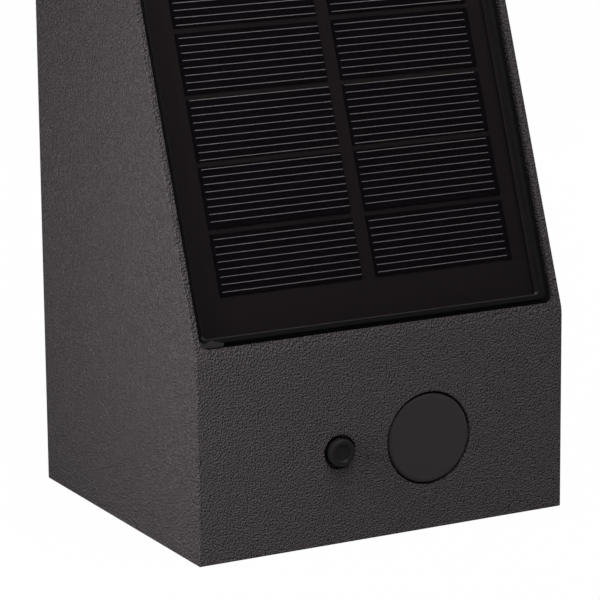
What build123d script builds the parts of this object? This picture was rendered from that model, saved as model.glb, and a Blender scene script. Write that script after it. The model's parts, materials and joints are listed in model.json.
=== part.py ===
from build123d import *
import os
from math import cos, radians, sin, tan

# Solar wall light with a motion sensor, in millimetres.
# X runs to the right seen from the front, Y towards the wall and Z up.
# The wall is Y = 0, and the origin is midway between the two wall screws.

# Body
WIDTH = 100.0
DEPTH = 86.0
HEIGHT = 165.0
FRONT_HEIGHT = 50.2  # upright front, from the underside to the bend
SLOPE_ANGLE = 20.3  # lean of the panel face from upright, in degrees
WALL = 1.8
EDGE_RADIUS = 0.35
BEND_RADIUS = 8.0
MOUTH_RADIUS = 0.4  # softened edge of the pocket and of the two front holes

# Solar panel, let into the sloping face
RIM_END = 2.0  # rim below and above the pocket, along the slope
POCKET_RADIUS = 2.0
LEDGE = 6.5
LEDGE_THICKNESS = 2.0
PANEL_GAPS_SIDE = (0.7, 3.5)  # left and right of the panel, which sits off centre
PANEL_GAP_END = 2.2
GLASS_DROP = 0.3
GLASS_THICKNESS = 2.0
GLASS_RADIUS = 1.2
GLASS_EASE = 0.3
CELL_THICKNESS = 0.3
BACKBOARD_THICKNESS = 1.6
TAPE_THICKNESS = 0.8
SEALANT_DROP = 1.2  # top of the bead below the face of the glass
SEALANT_CLEARANCE = 0.05
CELL_COLUMNS = 2
CELL_ROWS = 6
CELL_MARGIN_SIDE = 6.2  # mean of both sides, since the cells sit on the middle of the body
CELL_MARGIN_END = 9.6
CELL_GAP_COLUMN = 3.6
CELL_GAP_ROW = 1.4
CELLS_RAISED = 0.3  # above the middle of the glass
TERMINAL_X = 24.0
TERMINAL_UP = 34.0  # along the slope from the bend
TERMINAL_SIZE = (12.0, 7.0, 3.0)
TERMINAL_EDGE = 0.8

# Motion sensor, in the right half of the upright front
SENSOR_X = 12.4
SENSOR_UP = 22.7  # above the underside, as is the button
WINDOW_DIAMETER = 22.2
WINDOW_CLEARANCE = 0.4
WINDOW_DROP = 0.2
WINDOW_EDGE = 0.6
WINDOW_LAP = 1.8  # flange beyond the disc
WINDOW_FLANGE = 1.2
WINDOW_SEAL = 0.8
SHROUD_WALL = 1.4
SHROUD_COLLAR = 1.5
PIR_DIAMETER = 8.3
PIR_HEIGHT = 4.2
PIR_BASE = 0.6
PIR_BASE_LAP = 0.5
PIR_FILTER = (4.0, 3.0)
PIR_FILTER_DROP = 0.3

# Push button, in the left half of the upright front
BUTTON_X = -12.15
BUTTON_DIAMETER = 6.8
BUTTON_PROUD = 1.5
BUTTON_TRAVEL = 0.8
BUTTON_ROUND = 0.6
BUTTON_DISH_DIAMETER = 4.6
BUTTON_DISH = 0.5
BUTTON_FLANGE = 1.2
BUTTON_FLANGE_LAP = 1.5
BUTTON_STEM_DIAMETER = 5.0
BUTTON_STEM = 1.2
BUTTON_REST_GAP = 0.2
BUTTON_HOLE = 8.2
SEAL_BORE_CLEARANCE = 0.2
SEAL_DROP = 1.3
SEAL_FLANGE = 1.2
SEAL_FLANGE_LAP = 1.9
SEAL_FIT = 0.1
SWITCH_SIZE = 6.0
SWITCH_HEIGHT = 3.5
PLUNGER_DIAMETER = 3.5
PLUNGER_CLEARANCE = 0.3
PLUNGER_ENTRY = 1.0  # plunger inside the switch at rest
PLUNGER_END_ROOM = 0.3

# Control board, on four posts behind the front wall
BOARD_STANDOFF = 14.2
BOARD_THICKNESS = 1.6
BOARD_SIDE_GAP = 4.2
BOARD_UP = 4.5
BOARD_HEIGHT = 38.0
BOARD_HOLE_INSET = 4.0
POST_DIAMETER = 6.0
HEADER_UP = 33.0
HEADER_PITCH = 24.0
HEADER_SIZE = (7.9, 6.0, 5.0)
HEADER_WALL = 0.8
HEADER_FLOOR = 1.5
PLUG_CLEARANCE = 0.1
PLUG_LENGTH = 6.9
CHIP_SIZE = (6.0, 1.6, 5.0)
COIL_DIAMETER = 8.0
COIL_HEIGHT = 4.5
CAPACITOR_DIAMETER = 6.3
CAPACITOR_HEIGHT = 5.4
COMPONENT_PITCH = 12.0

# Light in the underside
TRAY_BOARD_GAP = 4.0
TRAY_POST_GAP = 1.5
TRAY_SIDE_ROOM = 8.2  # room for ears and bosses beside the tray
TRAY_HEIGHT = 12.0
TRAY_WALL = 1.6
TRAY_RADIUS = 3.0
EAR_LENGTH = 6.5
EAR_WIDTH = 7.0
EAR_THICKNESS = 1.8
EAR_INSET = 6.0
BOSS_DIAMETER = 6.0
BOSS_HEIGHT = 6.5
BOSS_TRAY_GAP = 0.3
DIFFUSER_LAP = 4.0
DIFFUSER_FLANGE = 1.5
DIFFUSER_CLEARANCE = 0.4
DIFFUSER_DROP = 0.4
DIFFUSER_SEAL = 1.0
DIFFUSER_SEAL_WIDTH = 3.0
LED_BOARD_THICKNESS = 1.0
LED_BOARD_GAP = 1.5
LED_COLUMNS = 6
LED_ROWS = 2
LED_SIZE = (3.5, 2.8, 0.8)
LED_SCREW_INSET = 4.0
LED_BOSS_HEIGHT = 4.4

# Back of the body
BACK_RECESS = 9.0  # from the wall to the cover
COVER_THICKNESS = 2.5
COVER_CLEARANCE = 0.3
COVER_RADIUS = 1.0
BACK_SEAL = 1.0
SEAT_WIDTH = 3.0
SEAT_THICKNESS = 2.5
CORNER_POST = 9.0
CORNER_POST_LENGTH = 12.0
CORNER_SCREW_INSET = 5.0
COVER_RIB = 1.5
COVER_RIB_HEIGHT = 2.4
COVER_RIB_X = 33.0
COVER_RIB_MARGIN = 16.0

# Battery, on the inside of the back cover
BATTERY_UP = 80.0
CELL_DIAMETER = 18.4
CELL_LENGTH = 65.0
CELL_EDGE = 0.8
HOLDER_WALL = 1.5
HOLDER_FLOOR = 1.8
HOLDER_DEPTH = 16.0
HOLDER_GAP = 0.2
HOLDER_SCREW_X = 22.0
HOLDER_BOSS_DIAMETER = 8.0
HOLDER_BOSS_HEIGHT = 5.6
CONTACT_ROOM = 3.0
CONTACT_CHORD = 10.0
CONTACT_THICKNESS = 0.4
CONTACT_WIDTH = 8.0
CONTACT_GAP = 0.05

# Wall bracket and its lock screw
BRACKET_WIDTH = 36.0
BRACKET_THICKNESS = 2.0
BRACKET_BEND = 1.0  # inside radius of a bend
BRACKET_EAR = 7.5
HOOK_REACH = 6.5
HOOK_LIP = 2.5
HOOK_RIB_HEIGHT = 6.0
HOOK_RIB_THICKNESS = 2.0
HOOK_RIB_GAP = 0.2
HOOK_RIB_WIDTH = 30.0
EAR_GAP = 0.3
WALL_SCREW_SPACING = 80.0
WALL_HOLE_DIAMETER = 5.0
LOCK_LENGTH = 7.0
LOCK_Y = -4.4

# Screws of one size, with a cross recess
SCREW_DIAMETER = 3.0
SCREW_HEAD_DIAMETER = 5.6
SCREW_HEAD = 2.0
SCREW_HEAD_ROUND = 0.6
SCREW_CROSS = (2.8, 0.7, 1.0)
SCREW_SHORT = 6.0
SCREW_LONG = 10.0
PILOT_CLEARANCE = 0.05
HOLE_CLEARANCE = 0.2
TIP_ROOM = 0.6
TOUCH = 0.05  # edges this close to a face lie on it

# Leads inside the body
LEAD_DIAMETER = 2.2
LEAD_HOLE_CLEARANCE = 0.3
LED_LEAD_BACK = 14.0  # from the plug to the turn down into the tray
LED_LEAD_BEND = 8.0
BATTERY_LEAD_OUT = 5.6  # from the holder's end to the turn down
BATTERY_LEAD_FOOT = (5.0, 2.0, 17.0)  # beyond the holder, before its outlet and above the plug
BATTERY_LEAD_SIDE = (12.0, 22.0, 3.0)  # beside, behind and above the plug
BATTERY_LEAD_END = 12.0  # straight run into the plug
BATTERY_LEAD_BENDS = (4.5, 14.0, 14.0, 13.0)
PANEL_LEAD_OUT = 12.0  # from the terminal, square to the panel
PANEL_LEAD_DROP = 11.0
PANEL_LEAD_BACK = (14.0, 15.0)  # behind the plug, at the top and the foot of the run down
PANEL_LEAD_BENDS = (16.0, 14.0, 9.0)

# Places worked out from the sizes above
ANGLE = radians(SLOPE_ANGLE)
FRONT = -DEPTH
BOTTOM = -HEIGHT / 2
TOP = HEIGHT / 2
BEND_Z = BOTTOM + FRONT_HEIGHT
TOP_FRONT = FRONT + (HEIGHT - FRONT_HEIGHT) * tan(ANGLE)
SLOPE_LENGTH = (HEIGHT - FRONT_HEIGHT) / cos(ANGLE)
SLOPE = Plane(origin=(0, FRONT, BEND_Z), x_dir=(1, 0, 0), z_dir=(0, -cos(ANGLE), sin(ANGLE)))

INNER_X = WIDTH / 2 - WALL
INNER_FRONT = FRONT + WALL
INNER_BOTTOM = BOTTOM + WALL
INNER_TOP = TOP - WALL

GLASS_WIDTH = 2 * INNER_X - sum(PANEL_GAPS_SIDE)
PANEL_X = (PANEL_GAPS_SIDE[0] - PANEL_GAPS_SIDE[1]) / 2
GLASS_ENDS = (RIM_END + PANEL_GAP_END, SLOPE_LENGTH - RIM_END - PANEL_GAP_END)
CELLS_DEPTH = GLASS_DROP + GLASS_THICKNESS
BACKBOARD_DEPTH = CELLS_DEPTH + CELL_THICKNESS
TAPE_DEPTH = BACKBOARD_DEPTH + BACKBOARD_THICKNESS
POCKET_DEPTH = TAPE_DEPTH + TAPE_THICKNESS

FEATURE_Z = BOTTOM + SENSOR_UP
WINDOW_HOLE_RADIUS = WINDOW_DIAMETER / 2 + WINDOW_CLEARANCE
WINDOW_FLANGE_RADIUS = WINDOW_DIAMETER / 2 + WINDOW_LAP
WINDOW_FLANGE_Y = INNER_FRONT + WINDOW_SEAL
WINDOW_REAR = WINDOW_FLANGE_Y + WINDOW_FLANGE
BOARD_FRONT = INNER_FRONT + BOARD_STANDOFF
BOARD_REAR = BOARD_FRONT + BOARD_THICKNESS
BOARD_X = INNER_X - BOARD_SIDE_GAP
BOARD_Z = (BOTTOM + BOARD_UP, BOTTOM + BOARD_UP + BOARD_HEIGHT)
BOARD_HOLES = [
    (x, z)
    for x in (-BOARD_X + BOARD_HOLE_INSET, BOARD_X - BOARD_HOLE_INSET)
    for z in (BOARD_Z[0] + BOARD_HOLE_INSET, BOARD_Z[1] - BOARD_HOLE_INSET)
]
HEADER_Z = BOTTOM + HEADER_UP
HEADER_XS = (-HEADER_PITCH, 0.0, HEADER_PITCH)
PLUG_REAR = BOARD_REAR + HEADER_FLOOR + PLUG_LENGTH

SEAL_REAR = INNER_FRONT + SEAL_FLANGE
BUTTON_FLANGE_Y = SEAL_REAR + BUTTON_REST_GAP
STEM_REAR = BUTTON_FLANGE_Y + BUTTON_FLANGE + BUTTON_STEM
SWITCH_FRONT = BOARD_FRONT - SWITCH_HEIGHT
PLUNGER_REAR = SWITCH_FRONT + PLUNGER_ENTRY

COVER_REAR = -BACK_RECESS
COVER_FRONT = COVER_REAR - COVER_THICKNESS
SEAT_Y = COVER_FRONT - BACK_SEAL
CORNERS = [
    (x, z)
    for x in (-INNER_X + CORNER_SCREW_INSET, INNER_X - CORNER_SCREW_INSET)
    for z in (INNER_BOTTOM + CORNER_SCREW_INSET, INNER_TOP - CORNER_SCREW_INSET)
]

TRAY_X = INNER_X - TRAY_SIDE_ROOM
TRAY_Y = (BOARD_REAR + TRAY_BOARD_GAP, SEAT_Y - CORNER_POST_LENGTH - TRAY_POST_GAP)
TRAY_MID = (TRAY_Y[0] + TRAY_Y[1]) / 2
TRAY_LENGTH = TRAY_Y[1] - TRAY_Y[0]
DIFFUSER_Z = INNER_BOTTOM + DIFFUSER_SEAL
TRAY_Z = DIFFUSER_Z + DIFFUSER_FLANGE
TRAY_TOP = TRAY_Z + TRAY_HEIGHT
LED_BOARD_Z = TRAY_TOP - TRAY_WALL - LED_BOARD_THICKNESS
LED_BOARD_X = TRAY_X - TRAY_WALL - LED_BOARD_GAP
LED_BOARD_LENGTH = TRAY_LENGTH - 2 * (TRAY_WALL + LED_BOARD_GAP)
LED_SCREW_X = LED_BOARD_X - LED_SCREW_INSET
LED_SCREWS = [(x, TRAY_MID, LED_BOARD_Z) for x in (-LED_SCREW_X, LED_SCREW_X)]
BOSS_TOP = INNER_BOTTOM + BOSS_HEIGHT
BOSSES = [
    (side * (TRAY_X + BOSS_TRAY_GAP + BOSS_DIAMETER / 2), y)
    for side in (-1, 1)
    for y in (TRAY_Y[0] + EAR_INSET, TRAY_Y[1] - EAR_INSET)
]

BATTERY_Z = BOTTOM + BATTERY_UP
HOLDER_REAR = COVER_FRONT - HOLDER_BOSS_HEIGHT
BATTERY_Y = HOLDER_REAR - HOLDER_FLOOR - HOLDER_GAP - CELL_DIAMETER / 2
HOLDER_X = CELL_LENGTH / 2 + CONTACT_ROOM + HOLDER_WALL
HOLDER_Z = CELL_DIAMETER / 2 + HOLDER_GAP + HOLDER_WALL

HOOK_Z = INNER_TOP - HOOK_RIB_HEIGHT
EAR_Z = INNER_BOTTOM + EAR_GAP
SHANK = SCREW_DIAMETER / 2
PILOT = SHANK + PILOT_CLEARANCE
SCREW_HOLE = SHANK + HOLE_CLEARANCE


# Small shapes that many pieces share
def block(x, y, z):
    """A box between two limits on each axis."""
    size = [limits[1] - limits[0] for limits in (x, y, z)]
    return Pos(x[0], y[0], z[0]) * Box(*size, align=(Align.MIN, Align.MIN, Align.MIN))


def rod(radius, x, z, y):
    """A round bar along Y between two limits."""
    bar = Cylinder(radius, y[1] - y[0], align=(Align.CENTER, Align.CENTER, Align.MIN))
    return Pos(x, y[0], z) * Rot(-90, 0, 0) * bar


def pin(radius, x, y, z):
    """A round bar along Z between two limits."""
    return Pos(x, y, z[0]) * Cylinder(radius, z[1] - z[0], align=(Align.CENTER, Align.CENTER, Align.MIN))


def plate(half_x, y, z, radius):
    """A level plate with rounded corners, symmetrical in X."""
    outline = Pos(0, (y[0] + y[1]) / 2, z[0]) * RectangleRounded(2 * half_x, y[1] - y[0], radius)
    return extrude(outline, z[1] - z[0])


def slab(width, ends, depths, radius, x=0):
    """A plate parallel to the sloping face, between two depths below it."""
    middle = (ends[0] + ends[1]) / 2
    outline = SLOPE * Pos(x, middle, -depths[1]) * RectangleRounded(width, ends[1] - ends[0], radius)
    return extrude(outline, depths[1] - depths[0])


def inward(ends, margin):
    """Two limits drawn in by a margin."""
    return (ends[0] + margin, ends[1] - margin)


def group(pieces):
    """Separate solids that share one node."""
    return Compound([solid for piece in pieces for solid in piece.solids()])


def profile(inset):
    """The body's side outline, drawn in by a wall, with its open end on the wall plane."""
    front_turn = inset * tan(ANGLE / 2)
    top_turn = inset * tan((radians(90) - ANGLE) / 2)
    return [
        (0, BOTTOM + inset),
        (FRONT + inset, BOTTOM + inset),
        (FRONT + inset, BEND_Z - front_turn),
        (TOP_FRONT + top_turn, TOP - inset),
        (0, TOP - inset),
    ]


def screw(length):
    """A pan head screw that points along -Z, with the underside of its head at the origin."""
    head = Cylinder(SCREW_HEAD_DIAMETER / 2, SCREW_HEAD, align=(Align.CENTER, Align.CENTER, Align.MIN))
    head = fillet(head.edges().group_by(Axis.Z)[-1], SCREW_HEAD_ROUND)
    shank = Cylinder(SHANK, length, align=(Align.CENTER, Align.CENTER, Align.MAX))
    return head + shank - cross_recess(SCREW_HEAD)


def countersunk(length, clearance):
    """A countersunk screw, or with a clearance its hole, that points along -Z from the origin."""
    head, shank = SCREW_HEAD_DIAMETER / 2 + clearance, SHANK + clearance
    cone = Cone(shank, head, head - shank, align=(Align.CENTER, Align.CENTER, Align.MAX))
    return cone + Cylinder(shank, length, align=(Align.CENTER, Align.CENTER, Align.MAX))


def cross_recess(height):
    """The driver's cross, sunk from a height."""
    long, narrow, deep = SCREW_CROSS
    top = (Align.CENTER, Align.CENTER, Align.MAX)
    return Pos(0, 0, height) * (Box(long, narrow, deep, align=top) + Box(narrow, long, deep, align=top))


# Ways that the screws point
FORWARD = Rot(-90, 0, 0)  # head at the back
DOWN = Rot(0, 0, 0)
UP = Rot(180, 0, 0)
TOWARDS_BACK = Rot(90, 0, 0)
LOCK_PLACE = Pos(0, LOCK_Y, BOTTOM) * UP
HOLDER_SCREWS = [
    Pos(x, HOLDER_REAR - HOLDER_FLOOR, BATTERY_Z) * TOWARDS_BACK for x in (-HOLDER_SCREW_X, HOLDER_SCREW_X)
]


def screws(places, direction, length):
    """A set of equal screws."""
    return group([Pos(*place) * direction * screw(length) for place in places])


# Body
def body_shell():
    """The outer wedge with soft edges, hollowed to an even wall and open at the back."""
    outline = make_face(Polyline(*profile(0), close=True))
    bend = outline.vertices().sort_by_distance((FRONT, BEND_Z))[0]
    outer = extrude(Plane.YZ * fillet(bend, BEND_RADIUS), WIDTH / 2, both=True)
    beside = [edge for edge in outer.edges() if abs(edge.center().X) > INNER_X]
    at_sides = [edge for edge in beside if edge.center().Y < -WALL]
    lowest = outer.edges().filter_by(Axis.X).sort_by_distance((0, FRONT, BOTTOM))[0]
    highest = outer.edges().filter_by(Axis.X).sort_by_distance((0, TOP_FRONT, TOP))[0]
    outer = fillet(at_sides + [lowest, highest], EDGE_RADIUS)
    hollow = make_face(Polyline(*profile(WALL), close=True))
    return outer - extrude(Plane.YZ * hollow, INNER_X, both=True)


def seat_outline(gap):
    """The gasket's outline: a frame with a square at each corner, seen along Y."""
    width, height = 2 * (INNER_X - gap), INNER_TOP - INNER_BOTTOM - 2 * gap
    opening = Rectangle(2 * (INNER_X - SEAT_WIDTH), height - 2 * (SEAT_WIDTH - gap))
    frame = Rectangle(width, height) - opening
    side = CORNER_POST - gap
    for x in (-1, 1):
        for z in (-1, 1):
            frame += Pos(x * (width - side) / 2, z * (height - side) / 2) * Rectangle(side, side)
    return Plane(origin=(0, 0, 0), x_dir=(1, 0, 0), z_dir=(0, -1, 0)) * frame


def across_y(outline, y):
    """An outline in the XZ plane made solid between two limits on Y."""
    return extrude(Pos(0, y[1], 0) * outline, y[1] - y[0])


def make_housing():
    """The shell with the panel pocket, seats, posts, bosses and holes."""
    pocket_ends = (RIM_END, SLOPE_LENGTH - RIM_END)
    pocket_width = 2 * INNER_X
    body = body_shell()
    ledge_depths = (WALL / 2, POCKET_DEPTH + LEDGE_THICKNESS)
    body += slab(pocket_width, inward(pocket_ends, -WALL), ledge_depths, WALL / 2)
    body += across_y(seat_outline(0), (SEAT_Y - SEAT_THICKNESS, SEAT_Y))
    for x, z in CORNERS:
        outward = (CORNER_POST / 2 - CORNER_SCREW_INSET) * (-1 if x > 0 else 1)
        raised = (CORNER_POST / 2 - CORNER_SCREW_INSET) * (-1 if z > 0 else 1)
        post = Box(CORNER_POST, CORNER_POST_LENGTH, CORNER_POST)
        body += Pos(x + outward, SEAT_Y - CORNER_POST_LENGTH / 2, z + raised) * post
    for x, z in BOARD_HOLES:
        body += rod(POST_DIAMETER / 2, x, z, (INNER_FRONT, BOARD_FRONT))
    for x, y in BOSSES:
        body += pin(BOSS_DIAMETER / 2, x, y, (INNER_BOTTOM, BOSS_TOP))
    rib_front = -HOOK_REACH + BRACKET_THICKNESS + BRACKET_BEND + HOOK_RIB_GAP
    rib_y = (rib_front, rib_front + HOOK_RIB_THICKNESS)
    body += block((-HOOK_RIB_WIDTH / 2, HOOK_RIB_WIDTH / 2), rib_y, (HOOK_Z, INNER_TOP))

    body -= slab(pocket_width, pocket_ends, (-WALL, POCKET_DEPTH), POCKET_RADIUS)
    window_ends = inward(pocket_ends, LEDGE)
    beyond = POCKET_DEPTH + LEDGE_THICKNESS + WALL
    body -= slab(pocket_width - 2 * LEDGE, window_ends, (0, beyond), POCKET_RADIUS)
    body -= rod(WINDOW_HOLE_RADIUS, SENSOR_X, FEATURE_Z, (FRONT - WALL, INNER_FRONT))
    body -= rod(BUTTON_HOLE / 2, BUTTON_X, FEATURE_Z, (FRONT - WALL, INNER_FRONT))
    light_y = inward(TRAY_Y, DIFFUSER_LAP)
    body -= plate(TRAY_X - DIFFUSER_LAP, light_y, (BOTTOM - WALL, INNER_BOTTOM), TRAY_RADIUS)
    for x, z in CORNERS:
        tip = SEAT_Y - (SCREW_LONG - COVER_THICKNESS - BACK_SEAL) - TIP_ROOM
        body -= rod(PILOT, x, z, (tip, SEAT_Y))
    for x, z in BOARD_HOLES:
        tip = BOARD_FRONT - (SCREW_SHORT - BOARD_THICKNESS) - TIP_ROOM
        body -= rod(PILOT, x, z, (tip, BOARD_FRONT))
    for x, y in BOSSES:
        tip = BOSS_TOP - (SCREW_SHORT - EAR_THICKNESS) - TIP_ROOM
        body -= pin(PILOT, x, y, (tip, BOSS_TOP))
    body -= LOCK_PLACE * countersunk(LOCK_LENGTH, HOLE_CLEARANCE)
    return fillet(mouth_edges(body), MOUTH_RADIUS)


def mouth_edges(body):
    """Outer edges of the pocket and of the two holes in the front."""
    mouths = []
    for edge in body.edges():
        middle = edge.center()
        on_slope = SLOPE.to_local_coords(middle)
        up_slope = RIM_END - TOUCH < on_slope.Y < SLOPE_LENGTH - RIM_END + TOUCH
        if abs(on_slope.Z) < TOUCH and abs(middle.X) < INNER_X + TOUCH and up_slope:
            mouths.append(edge)
        on_front = abs(middle.Y - FRONT) < TOUCH and edge.geom_type == GeomType.CIRCLE
        if on_front and abs(middle.Z - FEATURE_Z) < TOUCH:
            mouths.append(edge)
    return mouths


# Solar panel
def make_glass():
    """The cover glass, with its upper edge eased."""
    glass = slab(GLASS_WIDTH, GLASS_ENDS, (GLASS_DROP, CELLS_DEPTH), GLASS_RADIUS, PANEL_X)
    face = glass.faces().sort_by(Axis(SLOPE.origin, SLOPE.z_dir))[-1]
    return chamfer(face.edges(), GLASS_EASE)


def make_cells():
    """Cut cells in rows and columns that fill the panel inside its margins."""
    span_x = GLASS_WIDTH - 2 * CELL_MARGIN_SIDE + CELL_GAP_COLUMN
    span_up = GLASS_ENDS[1] - GLASS_ENDS[0] - 2 * CELL_MARGIN_END + CELL_GAP_ROW
    step_x, step_up = span_x / CELL_COLUMNS, span_up / CELL_ROWS
    cell = Box(step_x - CELL_GAP_COLUMN, step_up - CELL_GAP_ROW, CELL_THICKNESS)
    middle = (GLASS_ENDS[0] + GLASS_ENDS[1]) / 2 + CELLS_RAISED
    return group([
        SLOPE * Pos(x.position.X, middle + x.position.Y, -CELLS_DEPTH - CELL_THICKNESS / 2) * cell
        for x in GridLocations(step_x, step_up, CELL_COLUMNS, CELL_ROWS)
    ])


def make_backboard():
    return slab(GLASS_WIDTH, GLASS_ENDS, (BACKBOARD_DEPTH, TAPE_DEPTH), GLASS_RADIUS, PANEL_X)


def make_tape():
    """A frame of double-sided tape between the board and the ledge."""
    window = inward((RIM_END, SLOPE_LENGTH - RIM_END), LEDGE)
    frame = slab(GLASS_WIDTH, GLASS_ENDS, (TAPE_DEPTH, POCKET_DEPTH), GLASS_RADIUS, PANEL_X)
    return frame - slab(2 * (INNER_X - LEDGE), window, (0, POCKET_DEPTH), POCKET_RADIUS)


def make_sealant():
    """A bead that fills the groove round the panel from the ledge up."""
    pocket = inward((RIM_END, SLOPE_LENGTH - RIM_END), SEALANT_CLEARANCE)
    depths = (GLASS_DROP + SEALANT_DROP, POCKET_DEPTH)
    bead = slab(2 * (INNER_X - SEALANT_CLEARANCE), pocket, depths, POCKET_RADIUS)
    width = GLASS_WIDTH + 2 * SEALANT_CLEARANCE
    ends = inward(GLASS_ENDS, -SEALANT_CLEARANCE)
    return bead - slab(width, ends, (0, POCKET_DEPTH), GLASS_RADIUS, PANEL_X)


def make_terminal():
    wide, tall, thick = TERMINAL_SIZE
    potting = Box(wide, tall, thick, align=(Align.CENTER, Align.CENTER, Align.MAX))
    potting = fillet(potting.faces().sort_by(Axis.Z)[0].edges(), TERMINAL_EDGE)
    return SLOPE * Pos(TERMINAL_X, TERMINAL_UP, -TAPE_DEPTH) * potting


# Motion sensor
def make_window():
    """A flat disc almost level with the front, with a flange behind the wall."""
    disc = rod(WINDOW_DIAMETER / 2, SENSOR_X, FEATURE_Z, (FRONT + WINDOW_DROP, WINDOW_FLANGE_Y))
    disc = fillet(disc.edges().group_by(Axis.Y)[0], WINDOW_EDGE)
    return disc + rod(WINDOW_FLANGE_RADIUS, SENSOR_X, FEATURE_Z, (WINDOW_FLANGE_Y, WINDOW_REAR))


def make_window_seal():
    reach = (INNER_FRONT, WINDOW_FLANGE_Y)
    ring = rod(WINDOW_FLANGE_RADIUS, SENSOR_X, FEATURE_Z, reach)
    return ring - rod(WINDOW_HOLE_RADIUS, SENSOR_X, FEATURE_Z, reach)


def make_shroud():
    """A tube that holds the window's flange and keeps stray light off the sensor."""
    bore = WINDOW_FLANGE_RADIUS - WINDOW_LAP - SHROUD_WALL
    rim_bore = WINDOW_FLANGE_RADIUS + WINDOW_CLEARANCE
    rim = rim_bore + SHROUD_WALL
    collar = (INNER_FRONT + WINDOW_CLEARANCE, WINDOW_REAR + SHROUD_COLLAR)
    tube = rod(bore + SHROUD_WALL, SENSOR_X, FEATURE_Z, (WINDOW_REAR, BOARD_FRONT))
    tube += rod(rim, SENSOR_X, FEATURE_Z, collar)
    tube -= rod(rim_bore, SENSOR_X, FEATURE_Z, (INNER_FRONT, WINDOW_REAR))
    return tube - rod(bore, SENSOR_X, FEATURE_Z, (WINDOW_REAR, BOARD_FRONT))


def make_pir():
    """A metal can with a filter let into its front."""
    front = BOARD_FRONT - PIR_HEIGHT
    can = rod(PIR_DIAMETER / 2, SENSOR_X, FEATURE_Z, (front, BOARD_FRONT))
    can = fillet(can.edges().group_by(Axis.Y)[0], PIR_BASE)
    can += rod(PIR_DIAMETER / 2 + PIR_BASE_LAP, SENSOR_X, FEATURE_Z, (BOARD_FRONT - PIR_BASE, BOARD_FRONT))
    wide, tall = PIR_FILTER
    return can - Pos(SENSOR_X, front, FEATURE_Z) * Box(wide, 2 * PIR_FILTER_DROP, tall)


# Push button
def make_button():
    """A turned button: dished face, straight side, flange behind the seal and a stem."""
    radius, dish = BUTTON_DIAMETER / 2, BUTTON_DISH_DIAMETER / 2
    flange, stem = radius + BUTTON_FLANGE_LAP, BUTTON_STEM_DIAMETER / 2
    face = FRONT - BUTTON_PROUD
    flange_rear = BUTTON_FLANGE_Y + BUTTON_FLANGE
    half = make_face(Polyline(
        (0, face + BUTTON_DISH),
        (dish - BUTTON_DISH, face + BUTTON_DISH),
        (dish, face),
        (radius, face),
        (radius, BUTTON_FLANGE_Y),
        (flange, BUTTON_FLANGE_Y),
        (flange, flange_rear),
        (stem, flange_rear),
        (stem, STEM_REAR),
        (0, STEM_REAR),
        close=True,
    ))
    rim = half.vertices().sort_by_distance((radius, face))[0]
    return Pos(BUTTON_X, 0, FEATURE_Z) * revolve(fillet(rim, BUTTON_ROUND), Axis.Y)


def make_button_seal():
    """A grommet that fills the hole round the button, below the front face."""
    plug_radius = BUTTON_HOLE / 2 - SEAL_FIT
    seal = rod(plug_radius, BUTTON_X, FEATURE_Z, (FRONT + SEAL_DROP, SEAL_REAR))
    seal += rod(plug_radius + SEAL_FLANGE_LAP, BUTTON_X, FEATURE_Z, (INNER_FRONT, SEAL_REAR))
    bore = BUTTON_DIAMETER / 2 + SEAL_BORE_CLEARANCE
    return seal - rod(bore, BUTTON_X, FEATURE_Z, (FRONT, SEAL_REAR))


def make_switch():
    middle = (SWITCH_FRONT + BOARD_FRONT) / 2
    body = Pos(BUTTON_X, middle, FEATURE_Z) * Box(SWITCH_SIZE, SWITCH_HEIGHT, SWITCH_SIZE)
    well = (SWITCH_FRONT, PLUNGER_REAR + BUTTON_TRAVEL + PLUNGER_END_ROOM)
    return body - rod(PLUNGER_DIAMETER / 2 + PLUNGER_CLEARANCE, BUTTON_X, FEATURE_Z, well)


def make_plunger():
    return rod(PLUNGER_DIAMETER / 2, BUTTON_X, FEATURE_Z, (STEM_REAR, PLUNGER_REAR))


# Control board
def make_board():
    board = block((-BOARD_X, BOARD_X), (BOARD_FRONT, BOARD_REAR), BOARD_Z)
    for x, z in BOARD_HOLES:
        board -= rod(SCREW_HOLE, x, z, (BOARD_FRONT, BOARD_REAR))
    return board


def make_headers():
    """Open sockets for the three plugs, on the back of the board."""
    wide, tall, high = HEADER_SIZE
    shell = Box(wide, tall, high, align=(Align.CENTER, Align.MIN, Align.CENTER))
    inner = (wide - 2 * HEADER_WALL, tall, high - 2 * HEADER_WALL)
    shell -= Pos(0, HEADER_FLOOR, 0) * Box(*inner, align=(Align.CENTER, Align.MIN, Align.CENTER))
    return group([Pos(x, BOARD_REAR, HEADER_Z) * shell for x in HEADER_XS])


def make_plugs():
    wide, _, high = HEADER_SIZE
    fit = 2 * (HEADER_WALL + PLUG_CLEARANCE)
    plug = Box(wide - fit, PLUG_LENGTH, high - fit, align=(Align.CENTER, Align.MIN, Align.CENTER))
    return group([Pos(x, BOARD_REAR + HEADER_FLOOR, HEADER_Z) * plug for x in HEADER_XS])


def make_components():
    """Two chips, a coil and a capacitor, between and beside the sockets."""
    chip = Box(*CHIP_SIZE, align=(Align.CENTER, Align.MIN, Align.CENTER))
    left, right = -COMPONENT_PITCH, COMPONENT_PITCH
    outer = HEADER_PITCH + COMPONENT_PITCH
    return group([
        Pos(left, BOARD_REAR, HEADER_Z) * chip,
        Pos(-outer, BOARD_REAR, FEATURE_Z) * chip,
        rod(COIL_DIAMETER / 2, right, HEADER_Z, (BOARD_REAR, BOARD_REAR + COIL_HEIGHT)),
        rod(CAPACITOR_DIAMETER / 2, outer, FEATURE_Z, (BOARD_REAR, BOARD_REAR + CAPACITOR_HEIGHT)),
    ])


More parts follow.
